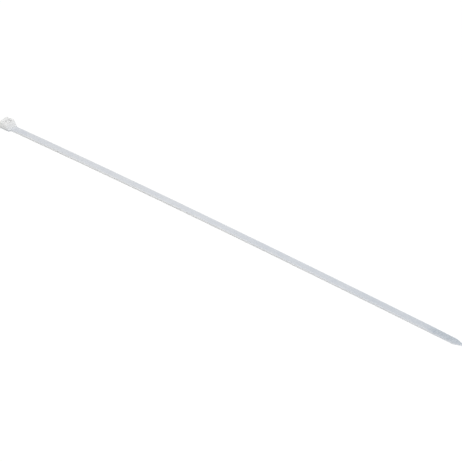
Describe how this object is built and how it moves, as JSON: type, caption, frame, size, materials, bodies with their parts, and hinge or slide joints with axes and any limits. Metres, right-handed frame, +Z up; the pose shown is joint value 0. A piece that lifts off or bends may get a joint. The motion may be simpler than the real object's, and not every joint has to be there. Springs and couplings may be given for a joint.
{
  "type": "cable tie",
  "caption": "One-piece nylon cable tie: long flat strap with a toothed channel underneath, ribbed pointed tail, and a locking head with a through slot and pawl.",
  "frame": {"origin": "middle of the slot's mouth, on the flat underside of the head, which is also the plane that the tie lies on", "axes": "+X along the strap from the head to the tip, +Y across the strap, +Z up out of the underside, which is the way the tail passes through the slot"},
  "size_m": [0.35, 0.0148, 0.0045],
  "materials": {
    "nylon": "natural nylon 66, milky and slightly translucent, with a soft moulded sheen"
  },
  "bodies": {
    "root": {"head": "nylon", "strap": "nylon"}
  },
  "joints": []
}
